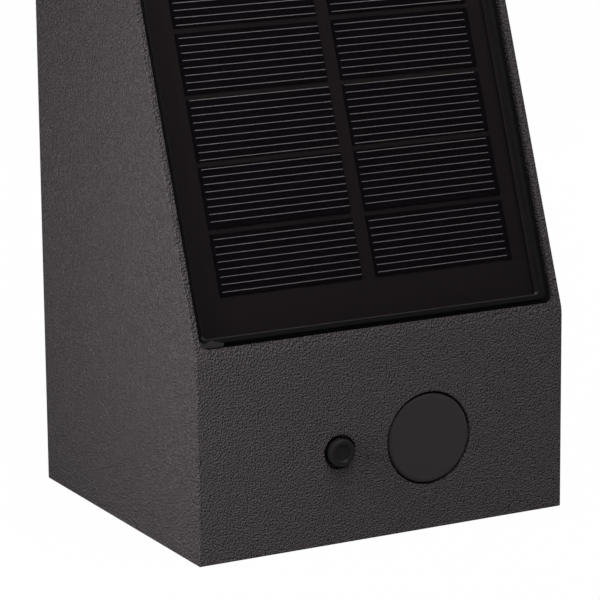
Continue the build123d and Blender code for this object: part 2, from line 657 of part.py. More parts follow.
# Light in the underside
def make_diffuser():
    """An opal plate with a flange inside and a raised middle that fills the opening."""
    flange = plate(TRAY_X, TRAY_Y, (DIFFUSER_Z, TRAY_Z), TRAY_RADIUS)
    margin = DIFFUSER_LAP + DIFFUSER_CLEARANCE
    levels = (BOTTOM + DIFFUSER_DROP, DIFFUSER_Z)
    middle = plate(TRAY_X - margin, inward(TRAY_Y, margin), levels, TRAY_RADIUS)
    return flange + middle


def make_diffuser_seal():
    ring = plate(TRAY_X, TRAY_Y, (INNER_BOTTOM, DIFFUSER_Z), TRAY_RADIUS)
    width = DIFFUSER_SEAL_WIDTH
    return ring - plate(TRAY_X - width, inward(TRAY_Y, width), (INNER_BOTTOM, DIFFUSER_Z), TRAY_RADIUS)


def make_tray():
    """A box open below, with ears on the bosses and two bosses on its top for the board's screws."""
    tray = plate(TRAY_X, TRAY_Y, (TRAY_Z, TRAY_TOP), TRAY_RADIUS)
    for x in (-LED_SCREW_X, LED_SCREW_X):
        tray += pin(BOSS_DIAMETER / 2, x, TRAY_MID, (TRAY_TOP, TRAY_TOP + LED_BOSS_HEIGHT))
    for x, y in BOSSES:
        reach = (TRAY_X - TRAY_WALL, TRAY_X + EAR_LENGTH)
        side = reach if x > 0 else (-reach[1], -reach[0])
        ear = block(side, (y - EAR_WIDTH / 2, y + EAR_WIDTH / 2), (BOSS_TOP, BOSS_TOP + EAR_THICKNESS))
        tray += ear - pin(SCREW_HOLE, x, y, (BOSS_TOP, BOSS_TOP + EAR_THICKNESS))
    room = plate(TRAY_X - TRAY_WALL, inward(TRAY_Y, TRAY_WALL), (TRAY_Z, TRAY_TOP - TRAY_WALL), TRAY_RADIUS)
    tray -= room
    for x in (-LED_SCREW_X, LED_SCREW_X):
        tray -= pin(PILOT, x, TRAY_MID, (LED_BOARD_Z, LED_BOARD_Z + SCREW_SHORT + TIP_ROOM))
    lead_hole = LEAD_DIAMETER / 2 + LEAD_HOLE_CLEARANCE
    return tray - pin(lead_hole, 0, PLUG_REAR + LED_LEAD_BACK, (LED_BOARD_Z, TRAY_TOP))


def make_led_board():
    y = (TRAY_MID - LED_BOARD_LENGTH / 2, TRAY_MID + LED_BOARD_LENGTH / 2)
    z = (LED_BOARD_Z, LED_BOARD_Z + LED_BOARD_THICKNESS)
    board = plate(LED_BOARD_X, y, z, TRAY_RADIUS / 2)
    for x in (-LED_SCREW_X, LED_SCREW_X):
        board -= pin(SCREW_HOLE, x, TRAY_MID, z)
    return board


def make_leds():
    """Chips in rows under the board, clear of its two screws."""
    step_x = 2 * (LED_SCREW_X - SCREW_HEAD_DIAMETER / 2) / LED_COLUMNS
    step_y = LED_BOARD_LENGTH / LED_ROWS
    chip = Box(*LED_SIZE, align=(Align.CENTER, Align.CENTER, Align.MAX))
    middle = Pos(0, TRAY_MID, LED_BOARD_Z)
    return group([middle * place * chip for place in GridLocations(step_x, step_y, LED_COLUMNS, LED_ROWS)])


# Back
def make_cover():
    """A flat plate with corner holes, blind bosses for the battery holder and two ribs."""
    half_x = INNER_X - COVER_CLEARANCE
    height = INNER_TOP - INNER_BOTTOM - 2 * COVER_CLEARANCE
    upright = Plane(origin=(0, 0, 0), x_dir=(1, 0, 0), z_dir=(0, -1, 0))
    face = upright * RectangleRounded(2 * half_x, height, COVER_RADIUS)
    cover = across_y(face, (COVER_FRONT, COVER_REAR))
    for x, z in CORNERS:
        cover -= rod(SCREW_HOLE, x, z, (COVER_FRONT, COVER_REAR))
    rib_z = inward((INNER_BOTTOM, INNER_TOP), COVER_RIB_MARGIN)
    for side in (-1, 1):
        rib_x = (side * COVER_RIB_X - COVER_RIB / 2, side * COVER_RIB_X + COVER_RIB / 2)
        cover += block(rib_x, (COVER_FRONT - COVER_RIB_HEIGHT, COVER_FRONT), rib_z)
        cover += rod(HOLDER_BOSS_DIAMETER / 2, side * HOLDER_SCREW_X, BATTERY_Z, (HOLDER_REAR, COVER_FRONT))
        tip = HOLDER_REAR + SCREW_SHORT - HOLDER_FLOOR + TIP_ROOM
        cover -= rod(PILOT, side * HOLDER_SCREW_X, BATTERY_Z, (HOLDER_REAR, tip))
    return cover


def make_back_seal():
    seal = across_y(seat_outline(COVER_CLEARANCE), (SEAT_Y, COVER_FRONT))
    for x, z in CORNERS:
        seal -= rod(SCREW_HOLE, x, z, (SEAT_Y, COVER_FRONT))
    return seal


# Battery
def make_holder():
    """An open tray that takes the cell from the front."""
    y = (HOLDER_REAR - HOLDER_DEPTH, HOLDER_REAR)
    z = (BATTERY_Z - HOLDER_Z, BATTERY_Z + HOLDER_Z)
    tray = block((-HOLDER_X, HOLDER_X), y, z)
    inside_x = inward((-HOLDER_X, HOLDER_X), HOLDER_WALL)
    tray -= block(inside_x, (y[0], HOLDER_REAR - HOLDER_FLOOR), inward(z, HOLDER_WALL))
    for place in HOLDER_SCREWS:
        tray -= place * countersunk(HOLDER_FLOOR, HOLE_CLEARANCE)
    return tray


def make_holder_screws():
    return group([place * (countersunk(SCREW_SHORT, 0) - cross_recess(0)) for place in HOLDER_SCREWS])


def make_cell():
    cell = Cylinder(CELL_DIAMETER / 2, CELL_LENGTH)
    return Pos(0, BATTERY_Y, BATTERY_Z) * Rot(0, 90, 0) * fillet(cell.edges(), CELL_EDGE)


def make_contacts():
    """A bowed strip at each end, between the holder's wall and the cell."""
    bow = CONTACT_ROOM - CONTACT_GAP
    radius = (CONTACT_CHORD ** 2 / 4 + bow ** 2) / (2 * bow)
    width = (BATTERY_Z - CONTACT_WIDTH / 2, BATTERY_Z + CONTACT_WIDTH / 2)
    wall = HOLDER_X - HOLDER_WALL
    strip = pin(radius, wall - bow + radius, BATTERY_Y, width)
    strip -= pin(radius - CONTACT_THICKNESS, wall - bow + radius, BATTERY_Y, width)
    strip &= block((wall - bow, wall), (BATTERY_Y - radius, BATTERY_Y + radius), width)
    return group([strip, mirror(strip, Plane.YZ)])


# Wall bracket
def make_bracket():
    """One bent strap: lower ear, back, upper ear and the lip that the body hooks over."""
    half = BRACKET_THICKNESS / 2
    middle = FilletPolyline(
        (-BRACKET_EAR, EAR_Z + half),
        (-half, EAR_Z + half),
        (-half, HOOK_Z - half),
        (-HOOK_REACH + half, HOOK_Z - half),
        (-HOOK_REACH + half, HOOK_Z + HOOK_LIP),
        radius=BRACKET_BEND + half,
    )
    strap = extrude(Plane.YZ * trace(middle, BRACKET_THICKNESS), BRACKET_WIDTH / 2, both=True)
    for z in (-WALL_SCREW_SPACING / 2, WALL_SCREW_SPACING / 2):
        strap -= rod(WALL_HOLE_DIAMETER / 2, 0, z, (-BRACKET_THICKNESS, 0))
    return strap - pin(PILOT, 0, LOCK_Y, (EAR_Z, EAR_Z + BRACKET_THICKNESS))


def make_lock_screw():
    return LOCK_PLACE * (countersunk(LOCK_LENGTH, 0) - cross_recess(0))


# Leads inside the body
def lead(points, radii):
    """A two-core lead along straight runs joined by tangent arcs."""
    path = FilletPolyline(*points, radius=radii)
    section = Plane(origin=path @ 0, z_dir=path % 0) * Circle(LEAD_DIAMETER / 2)
    return sweep(section, path=path)


def make_led_lead():
    turn = PLUG_REAR + LED_LEAD_BACK
    start = (0, PLUG_REAR, HEADER_Z)
    return lead([start, (0, turn, HEADER_Z), (0, turn, LED_BOARD_Z + LED_BOARD_THICKNESS)], [LED_LEAD_BEND])


def make_battery_lead():
    outlet = BATTERY_Y + CELL_DIAMETER / 4
    beyond, before, above = BATTERY_LEAD_FOOT
    beside, behind, over = BATTERY_LEAD_SIDE
    return lead(
        [
            (-HOLDER_X, outlet, BATTERY_Z),
            (-HOLDER_X - BATTERY_LEAD_OUT, outlet, BATTERY_Z),
            (-HOLDER_X - beyond, outlet - before, HEADER_Z + above),
            (-HEADER_PITCH - beside, PLUG_REAR + behind, HEADER_Z + over),
            (-HEADER_PITCH, PLUG_REAR + BATTERY_LEAD_END, HEADER_Z),
            (-HEADER_PITCH, PLUG_REAR, HEADER_Z),
        ],
        BATTERY_LEAD_BENDS,
    )


def make_panel_lead():
    start = SLOPE.from_local_coords(Vector(TERMINAL_X, TERMINAL_UP, -TAPE_DEPTH - TERMINAL_SIZE[2]))
    out = start - SLOPE.z_dir * PANEL_LEAD_OUT
    top, foot = PANEL_LEAD_BACK
    return lead(
        [
            start,
            out,
            (TERMINAL_X, PLUG_REAR + top, out.Z - PANEL_LEAD_DROP),
            (HEADER_PITCH, PLUG_REAR + foot, HEADER_Z),
            (HEADER_PITCH, PLUG_REAR, HEADER_Z),
        ],
        PANEL_LEAD_BENDS,
    )


PARTS = {
    "housing": make_housing(),
    "solar_glass": make_glass(),
    "solar_cells": make_cells(),
    "solar_backboard": make_backboard(),
    "panel_tape": make_tape(),
    "panel_sealant": make_sealant(),
    "panel_terminal": make_terminal(),
    "panel_lead": make_panel_lead(),
    "sensor_window": make_window(),
    "window_seal": make_window_seal(),
    "sensor_shroud": make_shroud(),
    "pir_sensor": make_pir(),
    "mode_button": make_button(),
    "button_seal": make_button_seal(),
    "switch_body": make_switch(),
    "switch_plunger": make_plunger(),
    "control_board": make_board(),
    "board_components": make_components(),
    "board_headers": make_headers(),
    "lead_plugs": make_plugs(),
    "board_screws": screws([(x, BOARD_REAR, z) for x, z in BOARD_HOLES], FORWARD, SCREW_SHORT),
    "battery_cell": make_cell(),
    "battery_holder": make_holder(),
    "battery_contacts": make_contacts(),
    "holder_screws": make_holder_screws(),
    "battery_lead": make_battery_lead(),
    "led_board": make_led_board(),
    "led_chips": make_leds(),
    "led_tray": make_tray(),
    "led_screws": screws(LED_SCREWS, UP, SCREW_SHORT),
    "tray_screws": screws([(x, y, BOSS_TOP + EAR_THICKNESS) for x, y in BOSSES], DOWN, SCREW_SHORT),
    "led_lead": make_led_lead(),
    "diffuser": make_diffuser(),
    "diffuser_seal": make_diffuser_seal(),
    "back_cover": make_cover(),
    "back_seal": make_back_seal(),
    "cover_screws": screws([(x, COVER_REAR, z) for x, z in CORNERS], FORWARD, SCREW_LONG),
    "wall_bracket": make_bracket(),
    "lock_screw": make_lock_screw(),
}

os.makedirs("parts", exist_ok=True)
for name, piece in PARTS.items():
    export_step(piece, f"parts/{name}.step")
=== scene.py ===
import json
import math

import bmesh
import bpy
from mathutils import Matrix, Vector, noise


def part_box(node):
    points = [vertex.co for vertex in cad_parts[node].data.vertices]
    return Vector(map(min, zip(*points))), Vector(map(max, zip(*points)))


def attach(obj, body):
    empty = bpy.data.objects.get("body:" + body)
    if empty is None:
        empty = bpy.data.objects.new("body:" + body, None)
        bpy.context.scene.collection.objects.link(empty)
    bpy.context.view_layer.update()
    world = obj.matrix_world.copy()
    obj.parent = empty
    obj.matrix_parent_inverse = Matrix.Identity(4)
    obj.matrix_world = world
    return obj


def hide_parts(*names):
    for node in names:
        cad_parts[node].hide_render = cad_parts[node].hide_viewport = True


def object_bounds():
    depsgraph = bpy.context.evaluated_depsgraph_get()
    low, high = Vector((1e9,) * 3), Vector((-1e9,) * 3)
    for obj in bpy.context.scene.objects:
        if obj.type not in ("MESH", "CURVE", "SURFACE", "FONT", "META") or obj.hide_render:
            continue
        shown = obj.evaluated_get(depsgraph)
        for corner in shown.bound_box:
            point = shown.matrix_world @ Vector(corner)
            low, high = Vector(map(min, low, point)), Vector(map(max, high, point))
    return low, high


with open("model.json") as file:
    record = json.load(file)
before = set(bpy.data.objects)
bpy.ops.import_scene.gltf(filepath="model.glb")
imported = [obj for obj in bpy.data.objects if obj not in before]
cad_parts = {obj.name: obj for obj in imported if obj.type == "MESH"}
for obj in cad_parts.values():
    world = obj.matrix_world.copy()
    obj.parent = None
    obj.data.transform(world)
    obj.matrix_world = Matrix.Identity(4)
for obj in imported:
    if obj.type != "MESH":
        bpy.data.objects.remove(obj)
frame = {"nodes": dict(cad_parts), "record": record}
cad_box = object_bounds()
nodes = frame["nodes"]

# Lengths are metres in the frame of the CAD; sizes are written in millimetres times MM
MM = 0.001
ACROSS = Vector((1, 0, 0))
CREASE = math.radians(40)  # edges turned more than this stay sharp

# Printed fingers of the solar cells
FINGER_PITCH = 1.785 * MM
FINGER_WIDTH = 0.13 * MM
FINGER_HEIGHT = 0.02 * MM
FINGER_SECTION = ((-0.5, 0), (-0.3, 1), (0.3, 1), (0.5, 0))  # shares of width and height
FINGER_ENDS = ((0.8, 0.15), (0.7, 1.3))  # bare silicon left and right in each column, in mm
FINGER_STARTS = (0.9, 1.57, 0.27, 1.0, 0.6, 1.3)  # lowest finger above the edge of each row, in mm

# Cover glass and the sealant round it
GLASS_LIFT = 0.06 * MM  # clear of the cells, which the CAD glass touches
GLASS_CORNER = 1.2 * MM
GLASS_ROUND = 0.35 * MM
GLASS_STEPS = 4  # facets across a rounded edge
LEAST_CORNER = 0.05 * MM
FACE_ON = 0.99  # a face that looks straight out of the slope
FACE_TURNED = 0.2  # an edge face that looks clearly down or to the right
POCKET_CORNER = 1.95 * MM
BEAD_STEPS = (  # share of the way from the glass to the wall, and depth below the glass's face in mm
    (0.0, 0.2), (0.25, 0.22), (0.45, 0.35), (0.58, 0.6), (0.66, 1.2), (1.0, 1.4),
)
BEAD_CLEARANCE = 0.05 * MM  # between the glass and the bead
BEAD_UNEVEN = 0.2 * MM
BEAD_WAVE = 4.0 * MM
LUMP_MIDDLE = (3.2 * MM, 1.1 * MM)  # sealant squeezed up, from the lower left corner of the groove
LUMP_HALF = (3.4 * MM, 1.25 * MM, 1.0 * MM)
LUMP_SEGMENTS = (32, 16)
LUMP_BOXY = 0.6  # below 1 the lump is fuller than an egg
LUMP_UNEVEN = 0.1 * MM
LUMP_WAVE = 2.0 * MM

# Camera of the photograph: it looks down on the light from the front left
AIM_X = -22.65 * MM
AIM_UP = 61.17 * MM  # above the underside, on the plane of the front
CAMERA_AZIMUTH = math.radians(28.17)
CAMERA_ELEVATION = math.radians(13.389)
CAMERA_ROLL = math.radians(-0.536)
CAMERA_DISTANCE = 798.4 * MM
LENS = 204.92
SENSOR = 36.0

# Light
FILL = 0.06  # light from all round on matt surfaces
FLOOR_REACH = 3.0
FLOOR_GAP = 0.05 * MM
FLOOR_LAP = 2.0 * MM  # how far the floor reaches under the light
FLOOR_GLOW = 0.99  # share of plain white in what the camera sees of the floor
LAMPS = (  # name, place and aim, width and height in metres, power in watts, and whether it glares
    # A narrow strip just in front of the front's plane, which rakes across the grain of the coat
    ("left_strip", (-0.15, -0.0923, 0.0), (-0.03, -0.088, -0.03), (0.02, 0.16), 0.195, False),
    ("side_softbox", (-0.3, -0.035, 0.0), (-0.05, -0.045, -0.03), (0.09, 0.16), 0.43, True),
    ("top_softbox", (0.0, -0.24, 0.43), (-0.03, -0.07, -0.03), (0.34, 0.34), 2.45, True),
    ("back_softbox", (0.35, 0.3, 0.25), (0.0, -0.03, 0.0), (0.3, 0.3), 2.5, True),
    # From below, through the opening of the floor
    ("under_softbox", (0.0, -0.043, -0.5), (0.0, -0.043, -0.08), (0.3, 0.3), 1.0, True),
)


def linear(code):
    """An sRGB hex colour as the linear values that the shaders take."""
    channels = [int(code[place:place + 2], 16) / 255 for place in (1, 3, 5)]
    return [c / 12.92 if c <= 0.04045 else ((c + 0.055) / 1.055) ** 2.4 for c in channels] + [1.0]


def per_mm(size):
    """The texture scale at which a pattern repeats about every so many millimetres."""
    return 1 / (size * MM)


def add(tree, kind, inputs=(), **settings):
    """One node with its settings; an input is a value or the output that feeds it."""
    made = tree.nodes.new("ShaderNode" + kind)
    for name, value in settings.items():
        setattr(made, name, value)
    for name, value in dict(inputs).items():
        if isinstance(value, bpy.types.NodeSocket):
            tree.links.new(value, made.inputs[name])
        else:
            made.inputs[name].default_value = value
    return made


def new_finish(name):
    """An empty material, its node tree and the place of each point in the frame."""
    material = bpy.data.materials.new(name)
    material.use_nodes = True
    tree = material.node_tree
    tree.nodes.clear()
    return material, tree, add(tree, "TexCoord").outputs["Object"]


def powder_coat():
    """Coarse textured powder coat on die-cast aluminium: matt, with grains that catch a raking light and
    painted shade in the hollows between them.
    """
    material, tree, place = new_finish("textured_powder_coat")
    material.cycles.use_bump_map_correction = False
    # A grain is only two pixels wide in the picture, so the relief is far deeper than the real coat's
    grain = add(tree, "TexNoise", {"Vector": place, "Scale": per_mm(0.46), "Detail": 0.0})
    cloud = add(tree, "TexNoise", {"Vector": place, "Scale": per_mm(18), "Detail": 2.0})
    tint = add(tree, "MixRGB", {
        "Fac": cloud.outputs["Fac"], "Color1": linear("#454142"), "Color2": linear("#494445"),
    })
    # Where the grain's relief is low the coat takes the darker colour: painted shade in the hollows
    # between grains
    painted_hollow_shade = add(tree, "MapRange", {"Value": grain.outputs["Fac"], "From Min": 0.35, "From Max": 0.65})
    colour = add(tree, "MixRGB", {
        "Fac": painted_hollow_shade.outputs["Result"], "Color1": linear("#423e3f"), "Color2": tint.outputs["Color"],
    })
    dull = add(tree, "MapRange", {"Value": grain.outputs["Fac"], "To Min": 0.9, "To Max": 0.75})
    soft_edge = add(tree, "Bevel", {"Radius": 0.45 * MM}, samples=6)
    relief = add(tree, "Bump", {
        "Height": grain.outputs["Fac"], "Distance": 1.8 * MM, "Normal": soft_edge.outputs["Normal"],
    })
    shader = add(tree, "BsdfPrincipled", {
        "Base Color": colour.outputs["Color"], "Roughness": dull.outputs["Result"],
        "Normal": relief.outputs["Normal"], "Specular IOR Level": 0.1,
    })
    add(tree, "OutputMaterial", {"Surface": shader.outputs["BSDF"]})
    return material


def cover_glass_finish():
    """Float glass with an anti-reflection coat: clear and deep, with a trace of wiping and no glare."""
    material, tree, place = new_finish("coated_float_glass")
    wipes = add(tree, "TexNoise", {"Vector": place, "Scale": per_mm(9), "Detail": 4.0, "Distortion": 1.5})
    haze = add(tree, "MapRange", {"Value": wipes.outputs["Fac"], "To Min": 0.02, "To Max": 0.1})
    shader = add(tree, "BsdfPrincipled", {
        "Base Color": linear("#0b0a0b"), "Roughness": haze.outputs["Result"], "IOR": 1.5, "Alpha": 0.06,
        "Specular IOR Level": 0.0,
    })
    add(tree, "OutputMaterial", {"Surface": shader.outputs["BSDF"]})
    return material


def coated_silicon():
    """Silicon with a nitride coat: near black, with blue and violet drifting from cell to cell.

    The etched relief, a few thousandths of a millimetre on a real cell, is drawn coarse enough to show.
    """
    material, tree, place = new_finish("nitride_coated_silicon")
    drift = add(tree, "TexNoise", {"Vector": place, "Scale": per_mm(14), "Detail": 1.0})
    colour = add(tree, "MixRGB", {
        "Fac": drift.outputs["Fac"], "Color1": linear("#08070c"), "Color2": linear("#0c070b"),
    })
    etch = add(tree, "TexNoise", {"Vector": place, "Scale": per_mm(0.3), "Detail": 2.0})
    relief = add(tree, "Bump", {"Height": etch.outputs["Fac"], "Distance": 0.004 * MM})
    shader = add(tree, "BsdfPrincipled", {
        "Base Color": colour.outputs["Color"], "Roughness": 0.15, "Normal": relief.outputs["Normal"],
        "Specular IOR Level": 0.02,
    })
    add(tree, "OutputMaterial", {"Surface": shader.outputs["BSDF"]})
    return material


def printed_silver():
    """Fired silver paste: fine light grey lines with a slightly broken shine."""
    material, tree, place = new_finish("fired_silver_paste")
    paste = add(tree, "TexNoise", {"Vector": place, "Scale": per_mm(1.6), "Detail": 2.0})
    colour = add(tree, "MixRGB", {
        "Fac": paste.outputs["Fac"], "Color1": linear("#7d7778"), "Color2": linear("#8d8787"),
    })
    shader = add(tree, "BsdfPrincipled", {
        "Base Color": colour.outputs["Color"], "Roughness": 0.55, "Specular IOR Level": 0.0,
    })
    add(tree, "OutputMaterial", {"Surface": shader.outputs["BSDF"]})
    return material


def moulded(name, colours, roughness, grain, relief, specular=0.4, edge=0.0):
    """A moulded or cast skin: two close shades in a fine grain, with a relief to match.

    Grain, relief and the radius of softened edges are in millimetres. Grains finer than a quarter of a
    millimetre wouldn't show, so they are drawn at that size or above.
    """
    material, tree, place = new_finish(name)
    speck = add(tree, "TexNoise", {"Vector": place, "Scale": per_mm(grain), "Detail": 3.0})
    colour = add(tree, "MixRGB", {
        "Fac": speck.outputs["Fac"], "Color1": linear(colours[0]), "Color2": linear(colours[1]),
    })
    dull = add(tree, "MapRange", {
        "Value": speck.outputs["Fac"], "To Min": roughness - 0.06, "To Max": roughness + 0.06,
    })
    skin_relief = {"Height": speck.outputs["Fac"], "Distance": relief * MM}
    if edge:
        soft_edge = add(tree, "Bevel", {"Radius": edge * MM}, samples=8)
        skin_relief["Normal"] = soft_edge.outputs["Normal"]
    bumps = add(tree, "Bump", skin_relief)
    shader = add(tree, "BsdfPrincipled", {
        "Base Color": colour.outputs["Color"], "Roughness": dull.outputs["Result"],
        "Normal": bumps.outputs["Normal"], "Specular IOR Level": specular,
    })
    add(tree, "OutputMaterial", {"Surface": shader.outputs["BSDF"]})
    return material


def metal(name, colours, roughness, grain, stretch):
    """A plated or rolled metal: marks drawn out along the sheet, in two close shades.

    The grain is the width of a mark in millimetres, and the stretch how it runs along X, Y and Z.
    """
    material, tree, place = new_finish(name)
    along = add(tree, "Mapping", {"Vector": place, "Scale": stretch})
    marks = add(tree, "TexNoise", {
        "Vector": along.outputs["Vector"], "Scale": per_mm(grain), "Detail": 4.0,
    })
    colour = add(tree, "MixRGB", {
        "Fac": marks.outputs["Fac"], "Color1": linear(colours[0]), "Color2": linear(colours[1]),
    })
    dull = add(tree, "MapRange", {
        "Value": marks.outputs["Fac"], "To Min": roughness - 0.1, "To Max": roughness + 0.1,
    })
    bumps = add(tree, "Bump", {"Height": marks.outputs["Fac"], "Distance": 0.01 * MM})
    shader = add(tree, "BsdfPrincipled", {
        "Base Color": colour.outputs["Color"], "Roughness": dull.outputs["Result"], "Metallic": 1.0,
        "Normal": bumps.outputs["Normal"],
    })
    add(tree, "OutputMaterial", {"Surface": shader.outputs["BSDF"]})
    return material


def opal_window():
    """Opal polycarbonate: milky white that lets light sink in, with a satin skin."""
    material, tree, place = new_finish("opal_polycarbonate")
    milk = add(tree, "TexNoise", {"Vector": place, "Scale": per_mm(2.5), "Detail": 3.0})
    colour = add(tree, "MixRGB", {
        "Fac": milk.outputs["Fac"], "Color1": linear("#e6e6e2"), "Color2": linear("#efefec"),
    })
    bumps = add(tree, "Bump", {"Height": milk.outputs["Fac"], "Distance": 0.01 * MM})
    shader = add(tree, "BsdfPrincipled", {
        "Base Color": colour.outputs["Color"], "Roughness": 0.35, "Normal": bumps.outputs["Normal"],
        "Subsurface Weight": 0.5, "Subsurface Radius": (1.0, 1.0, 0.9), "Subsurface Scale": 2 * MM,
    })
    add(tree, "OutputMaterial", {"Surface": shader.outputs["BSDF"]})
    return material


# The finish of each material slot of the record; a moulded one gives roughness, grain, relief,
# specular level and the radius of softened edges, and a metal roughness, grain and stretch
FINISHES = {
    "powder_coat": powder_coat(),
    "panel_glass": cover_glass_finish(),
    "silicon": coated_silicon(),
    "opal": opal_window(),
    # Brownish black laminate under the glass, with the weave of its glass cloth
    "panel_board": moulded("black_glass_cloth_laminate", ("#1e1a1b", "#211c1d"), 0.6, 0.6, 0.004, 0.01),
    # Cured silicone, smooth and a little shiny on its skin
    "sealant": moulded("black_silicone_sealant", ("#110f0f", "#151414"), 0.35, 1.2, 0.05, 0.04),
    # Foam tape, dull with open pores
    "tape": moulded("black_foam_tape", ("#181818", "#222222"), 0.8, 0.4, 0.03),
    # Poured resin with a level shiny top
    "potting": moulded("black_potting_resin", ("#101010", "#161616"), 0.2, 3.0, 0.02),
    # Drawn sheath, dull black
    "lead": moulded("black_drawn_sheath", ("#151515", "#1c1c1c"), 0.5, 0.8, 0.01),
    # Satin moulded disc with hardly any grain
    "sensor_window": moulded(
        "satin_moulded_polyethylene", ("#373334", "#3b3738"), 0.55, 0.35, 0.004, 0.08, 1.2,
    ),
    # Button moulded in a fine blasted tool, so its edges shine softly
    "button": moulded("soft_sheen_moulded_silicone", ("#1d1b1b", "#222020"), 0.42, 0.8, 0.006, 0.06),
    # Matt silicone rings and gaskets
    "seal": moulded("matt_moulded_silicone", ("#0e0d0d", "#131212"), 0.6, 0.5, 0.01, 0.2),
    # Spark-eroded black mouldings
    "black_plastic": moulded("spark_eroded_black_abs", ("#1d1d1e", "#262627"), 0.55, 0.4, 0.02),
    # White mouldings, lightly grained
    "white_plastic": moulded("white_moulded_abs", ("#e2e2de", "#ebebe8"), 0.45, 0.5, 0.01),
    # Green lacquer over copper and glass cloth
    "circuit_board": moulded("green_solder_mask", ("#124a2a", "#1a5d36"), 0.35, 1.2, 0.01),
    # Moulded packages of the components
    "component": moulded("black_epoxy_package", ("#1b1b1c", "#242425"), 0.6, 0.25, 0.01),
    # White lacquer on the metal core
    "white_board": moulded("white_solder_mask", ("#dcdcd8", "#e8e8e5"), 0.4, 1.0, 0.01),
    # Yellow phosphor in clear silicone
    "phosphor": moulded("cast_phosphor_silicone", ("#e6c84e", "#f0d766"), 0.3, 0.3, 0.01),
    # Printed shrink sleeve, tight and shiny
    "battery_wrap": moulded("blue_shrink_sleeve", ("#1e4a92", "#2656a4"), 0.3, 2.0, 0.01),
    # Deep drawn and nickel plated: warm silver with fine marks
    "metal_can": metal("drawn_nickel_can", ("#bdbab4", "#d2cfc9"), 0.3, 0.6, (1, 1, 1)),
    # Rolled spring strip, nickel plated: streaks along the strip
    "spring_metal": metal("nickel_spring_strip", ("#c4c0b8", "#d6d3cc"), 0.3, 0.5, (1, 1, 0.1)),
    # Bright zinc on rolled steel: cool silver with long soft streaks
    "zinc_steel": metal("bright_zinc_plate", ("#a9abae", "#c3c5c8"), 0.38, 1.5, (1, 1, 0.15)),
    # Black oxide on stainless steel: dark with a dull shine
    "black_screw": metal("black_oxide_steel", ("#232323", "#303030"), 0.45, 0.5, (1, 1, 1)),
}


def dress_frame():
    """Every CAD node gets the finish of its slot."""
    for part in frame["record"]["subparts"]:
        slots = nodes[part["node"]].data.materials
        for place in range(len(slots)):
            slots[place] = FINISHES[part["material_slot"]]


# The sloping face: across is X, UP runs up the slope and OUT points away from the body
OUT = max(nodes["solar_glass"].data.polygons, key=lambda f: f.area if f.normal.z > 0 else 0).normal.copy()
UP = Vector((0, OUT.z, -OUT.y))


def slope_limits(name):
    """A node's lowest and highest place across, up and out of the sloping face."""
    points = [vertex.co for vertex in nodes[name].data.vertices]
    spans = [[point.dot(axis) for point in points] for axis in (ACROSS, UP, OUT)]
    return [(min(span), max(span)) for span in spans]


def on_slope(x, up, out):
    """The point in the frame of a place across, up and out of the sloping face."""
    return ACROSS * x + UP * up + OUT * out


def outline(limits, inset, radius, out, arc=6, run=40):
    """Points round a rectangle with round corners on the slope, from its lower left corner on."""
    (left, right), (low, high) = limits[:2]
    left, right, low, high = left + inset, right - inset, low + inset, high - inset
    radius = max(radius - inset, LEAST_CORNER)
    centres = [
        (left + radius, low + radius), (right - radius, low + radius),
        (right - radius, high - radius), (left + radius, high - radius),
    ]
    flat = []
    for number, (x, up) in enumerate(centres):
        turn = math.radians(180 + 90 * number)
        for step in range(arc + 1):
            angle = turn + math.radians(90) * step / arc
            flat.append((x + radius * math.cos(angle), up + radius * math.sin(angle)))
        ahead = centres[(number + 1) % 4]
        end = turn + math.radians(90)
        shift = (radius * math.cos(end), radius * math.sin(end))
        for step in range(1, run):
            share = step / run
            flat.append((x + (ahead[0] - x) * share + shift[0], up + (ahead[1] - up) * share + shift[1]))
    return [on_slope(x, up, out) for x, up in flat]


def skin(mesh, loops, closed):
    """Faces through loops of equal count: closed into a ring, or capped at both ends."""
    rows = [[mesh.verts.new(point) for point in loop] for loop in loops]
    pairs = list(zip(rows, rows[1:]))
    if closed:
        pairs.append((rows[-1], rows[0]))
    else:
        mesh.faces.new(rows[0])
        mesh.faces.new(rows[-1])
    for lower, upper in pairs:
        for place in range(len(lower)):
            beside = (place + 1) % len(lower)
            mesh.faces.new((lower[place], lower[beside], upper[beside], upper[place]))


def make_piece(name, mesh):
    """A smooth shaded object from a bmesh, with creases kept."""
    bmesh.ops.recalc_face_normals(mesh, faces=mesh.faces)
    data = bpy.data.meshes.new(name)
    mesh.to_mesh(data)
    mesh.free()
    data.shade_smooth()
    data.set_sharp_from_angle(angle=CREASE)
    piece = bpy.data.objects.new(name, data)
    bpy.context.scene.collection.objects.link(piece)
    return piece


def loft(name, loops, closed):
    """A piece whose skin runs through the loops."""
    mesh = bmesh.new()
    skin(mesh, loops, closed)
    return make_piece(name, mesh)


def place_piece(piece, finish, body="lamp"):
    """A piece gets its first finish and goes into its body."""
    piece.data.materials.append(finish)
    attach(piece, body)


